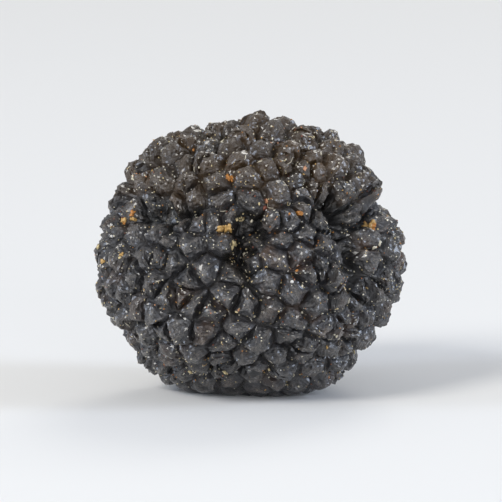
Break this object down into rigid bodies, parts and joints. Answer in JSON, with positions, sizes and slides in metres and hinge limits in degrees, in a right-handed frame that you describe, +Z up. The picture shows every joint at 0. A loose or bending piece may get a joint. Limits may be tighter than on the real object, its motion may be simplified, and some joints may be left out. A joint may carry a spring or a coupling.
{
  "type": "black truffle",
  "caption": "Whole black summer truffle: a lumpy ball covered by low pyramid warts that meet in cracks, lying on a small flat spot.",
  "frame": {"origin": "on the flat spot it rests on, under the middle of its bounding box", "axes": "+X along its longest side, +Z up, -Y its front"},
  "size_m": [0.0293, 0.0278, 0.0268],
  "materials": {
    "truffle_rind": "satin"
  },
  "bodies": {
    "root": {"truffle": "truffle_rind"}
  },
  "joints": []
}
